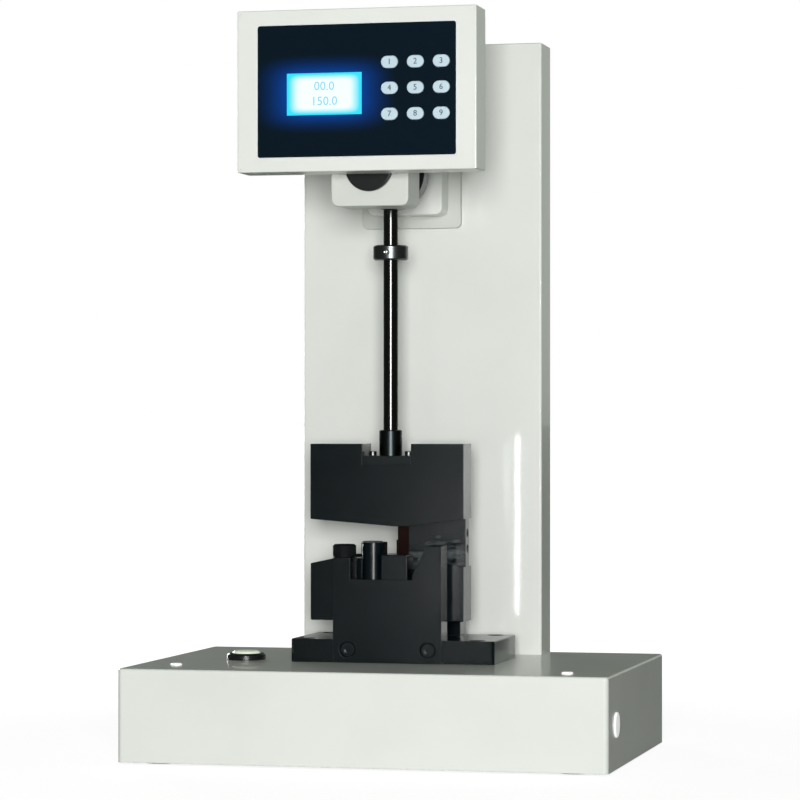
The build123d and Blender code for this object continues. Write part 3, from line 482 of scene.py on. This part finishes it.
def screen_distance(tree, power):
    """0 in the middle of the screen, 1 at its border, more outside. A higher power squares its lines."""
    coords = tree.nodes.new("ShaderNodeTexCoord")
    shift = tree.nodes.new("ShaderNodeVectorMath")
    shift.operation = "SUBTRACT"
    shift.inputs[1].default_value = lcd_mid
    tree.links.new(coords.outputs["Object"], shift.inputs[0])
    scale = tree.nodes.new("ShaderNodeVectorMath")
    scale.operation = "MULTIPLY"
    scale.inputs[1].default_value = (1 / lcd_half[0], 0, 1 / lcd_half[2])
    tree.links.new(shift.outputs["Vector"], scale.inputs[0])
    axes = tree.nodes.new("ShaderNodeSeparateXYZ")
    tree.links.new(scale.outputs["Vector"], axes.inputs["Vector"])
    powers = []
    for axis in ("X", "Z"):
        size = tree.nodes.new("ShaderNodeMath")
        size.operation = "ABSOLUTE"
        tree.links.new(axes.outputs[axis], size.inputs[0])
        raised = tree.nodes.new("ShaderNodeMath")
        raised.operation = "POWER"
        raised.inputs[1].default_value = power
        tree.links.new(size.outputs["Value"], raised.inputs[0])
        powers.append(raised.outputs["Value"])
    total = tree.nodes.new("ShaderNodeMath")
    total.operation = "ADD"
    tree.links.new(powers[0], total.inputs[0])
    tree.links.new(powers[1], total.inputs[1])
    root = tree.nodes.new("ShaderNodeMath")
    root.operation = "POWER"
    root.inputs[1].default_value = 1 / power
    tree.links.new(total.outputs["Value"], root.inputs[0])
    return root.outputs["Value"]


panel_film, tree, shader = new_material("panel_film", (0.0012, 0.007, 0.014), rough=0.14)
shader.inputs["Specular IOR Level"].default_value = 0.3
# Painted glow: an emission on the film round the screen.
shader.inputs["Emission Color"].default_value = (0.0, 0.10, 0.65, 1)
glow = spread_value(tree, screen_distance(tree, power=4), low=1.0, high=2.0, out_low=1, out_high=0)
soft = tree.nodes.new("ShaderNodeMath")
soft.operation = "POWER"
soft.inputs[1].default_value = 2.0
tree.links.new(glow, soft.inputs[0])
glow_strength = spread_value(tree, soft.outputs["Value"], low=0, high=1, out_high=0.42)
tree.links.new(glow_strength, shader.inputs["Emission Strength"])
finish(panel_film, "front_panel")

lcd_light, tree, shader = new_material("lcd_light", (0.02, 0.05, 0.06), rough=0.3)
shader.inputs["Emission Strength"].default_value = 1.0
rim = spread_value(tree, screen_distance(tree, power=8), low=0.68, high=0.95)
tree.links.new(mix_color(tree, rim, (0.90, 0.98, 1.0), (0.0, 0.72, 0.95)), shader.inputs["Emission Color"])
finish(lcd_light, "lcd_glass")

board_green = new_material("board_green", (0.02, 0.12, 0.05), rough=0.5)[0]
finish(board_green, "key_board")


# Figures of the display: pale blue digits that the screen forms in two rows, faint against its light.
# They are thin plain meshes just in front of the glass.
figure_thick = 0.0001
figure_gap = 0.00012
figure_size = 0.013
row_rise = 0.36 * lcd_half[2]


def upright_figures(name, words, size, spot, mat):
    """Figures that face the front, made a plain mesh that holds its own place."""
    curve = bpy.data.curves.new(name, "FONT")
    curve.body = words
    curve.size = size
    curve.align_x = "CENTER"
    curve.align_y = "CENTER"
    curve.extrude = figure_thick
    curve.resolution_u = 3
    mesh = plain_mesh(new_piece(name + "_curve", curve))
    mesh.transform(Matrix.Translation(spot) @ Matrix.Rotation(math.radians(90), 4, "X"))
    mesh.materials.clear()
    mesh.materials.append(mat)
    return new_piece(name, mesh)


lcd_ink, tree, shader = new_material("lcd_ink", (0.0, 0.0, 0.0), rough=0.5)
shader.inputs["Emission Color"].default_value = (0.25, 0.72, 0.95, 1)
shader.inputs["Emission Strength"].default_value = 0.9
for row, words, rise in (("top", "00.0", row_rise), ("low", "150.0", -row_rise)):
    spot = (lcd_mid[0], lcd_low[1] - figure_gap, lcd_mid[2] + rise)
    figures = upright_figures("display_row_" + row, words, figure_size, spot, lcd_ink)
    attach(figures, "stand")


# Keys: nine pale blue plastic caps that stand through the film, sprung on the board behind it. Each
# has a plain numeral printed on its face in dark ink.
numeral_size = 0.0085
key_plastic, tree, shader = new_material("key_plastic", (0.50, 0.64, 0.72), rough=0.4)
tree.links.new(add_edge(tree, radius=0.0006).outputs["Normal"], shader.inputs["Normal"])
ink = new_material("ink", (0.01, 0.012, 0.02), rough=0.6)[0]
for number in range(1, 10):
    finish(key_plastic, "key_%d" % number)
    low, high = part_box("key_%d" % number)
    spot = ((low[0] + high[0]) / 2, low[1] - figure_gap, (low[2] + high[2]) / 2)
    numeral = upright_figures("key_numeral_%d" % number, str(number), numeral_size, spot, ink)
    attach(numeral, "key_%d_body" % number)


# Floor: a wide white sheet under the feet. To the camera it fades to white away from the object, and
# near the object it keeps a soft shadow. To other rays it is a matt grey.
floor_size, floor_z = 400, -0.0002
bpy.ops.mesh.primitive_plane_add(size=floor_size, location=(0, 0, floor_z))
floor = bpy.context.object
floor.name = "floor"
floor_mat = bpy.data.materials.new("floor_white")
floor_mat.use_nodes = True
tree = floor_mat.node_tree
tree.nodes.clear()
output = tree.nodes.new("ShaderNodeOutputMaterial")
mix = tree.nodes.new("ShaderNodeMixShader")
rays = tree.nodes.new("ShaderNodeLightPath")
seen = tree.nodes.new("ShaderNodeAddShader")
white = tree.nodes.new("ShaderNodeEmission")
shade = tree.nodes.new("ShaderNodeBsdfDiffuse")
shade.inputs["Color"].default_value = (0.3, 0.3, 0.3, 1)
matt = tree.nodes.new("ShaderNodeBsdfDiffuse")
matt.inputs["Color"].default_value = (0.45, 0.46, 0.45, 1)
coords = tree.nodes.new("ShaderNodeTexCoord")
far = tree.nodes.new("ShaderNodeVectorMath")
far.operation = "LENGTH"
tree.links.new(coords.outputs["Object"], far.inputs[0])
whiter = spread_value(tree, far.outputs["Value"], low=0.5, high=1.5, out_low=0.88, out_high=1.0)
tree.links.new(whiter, white.inputs["Strength"])
tree.links.new(white.outputs["Emission"], seen.inputs[0])
tree.links.new(shade.outputs["BSDF"], seen.inputs[1])
tree.links.new(rays.outputs["Is Camera Ray"], mix.inputs["Fac"])
tree.links.new(matt.outputs["BSDF"], mix.inputs[1])
tree.links.new(seen.outputs["Shader"], mix.inputs[2])
tree.links.new(mix.outputs["Shader"], output.inputs["Surface"])
floor.data.materials.append(floor_mat)


# Background: white to the camera and through glass. The room gives a dim light, and a bright wall
# behind the object at its right shows in the sides that the camera sees at a flat angle.
wall_direction = (0.27, 0.96, 0.05)
world = bpy.data.worlds.new("world")
bpy.context.scene.world = world
world.use_nodes = True
tree = world.node_tree
tree.nodes.clear()
output = tree.nodes.new("ShaderNodeOutputWorld")
rays = tree.nodes.new("ShaderNodeLightPath")
white_rays = tree.nodes.new("ShaderNodeMath")
white_rays.operation = "MAXIMUM"
tree.links.new(rays.outputs["Is Camera Ray"], white_rays.inputs[0])
tree.links.new(rays.outputs["Is Transmission Ray"], white_rays.inputs[1])
coords = tree.nodes.new("ShaderNodeTexCoord")
toward = tree.nodes.new("ShaderNodeVectorMath")
toward.operation = "DOT_PRODUCT"
toward.inputs[1].default_value = wall_direction
tree.links.new(coords.outputs["Generated"], toward.inputs[0])
room = tree.nodes.new("ShaderNodeBackground")
room.inputs["Color"].default_value = (0.89, 0.98, 0.86, 1)
room_light = spread_value(tree, toward.outputs["Value"], low=0.93, high=0.98, out_low=0.13, out_high=0.8)
tree.links.new(room_light, room.inputs["Strength"])
backdrop = tree.nodes.new("ShaderNodeBackground")
backdrop.inputs["Color"].default_value = (1, 1, 1, 1)
mix = tree.nodes.new("ShaderNodeMixShader")
tree.links.new(white_rays.outputs["Value"], mix.inputs["Fac"])
tree.links.new(room.outputs["Background"], mix.inputs[1])
tree.links.new(backdrop.outputs["Background"], mix.inputs[2])
tree.links.new(mix.outputs["Shader"], output.inputs["Surface"])


# Lamps: a window beside the camera lights the front and a second one the back. A narrow tube shows as
# the upright streak in the column's paint.
def add_lamp(name, spot, target, size, power):
    """A plain white area lamp that points at its target."""
    data = bpy.data.lights.new(name, "AREA")
    data.shape = "RECTANGLE"
    data.size, data.size_y = size
    data.energy = power
    lamp = bpy.data.objects.new(name, data)
    lamp.location = spot
    lamp.rotation_euler = (Vector(target) - Vector(spot)).to_track_quat("-Z", "Y").to_euler()
    bpy.context.collection.objects.link(lamp)


add_lamp("front_light", (0.90, -3.9, 0.62), target=(0, 0, 0.36), size=(1.0, 1.0), power=142)
add_lamp("back_light", (-2.2, 3.2, 0.6), target=(0, 0, 0.4), size=(1.0, 1.0), power=60)
add_lamp("strip_light", (-0.39, -2.32, 0.16), target=(0.1, 0.12, 0.24), size=(0.006, 0.34), power=0.7)


# Camera: level, with a long lens, a little to the right of the object's front. The lens is shifted up
# rather than the camera tilted, so uprights stay upright.
camera_turn = 0.2355
camera_data = bpy.data.cameras.new("camera")
camera_data.lens = 149.3
camera_data.sensor_width = 36
camera_data.shift_y = 0.0252
camera_data.clip_end = 1000
camera = bpy.data.objects.new("camera", camera_data)
camera.location = (0.8367, -3.4794, 0.3596)
camera.rotation_euler = (math.radians(90), 0, camera_turn)
bpy.context.collection.objects.link(camera)
bpy.context.scene.camera = camera
bpy.context.scene.view_settings.view_transform = "Standard"
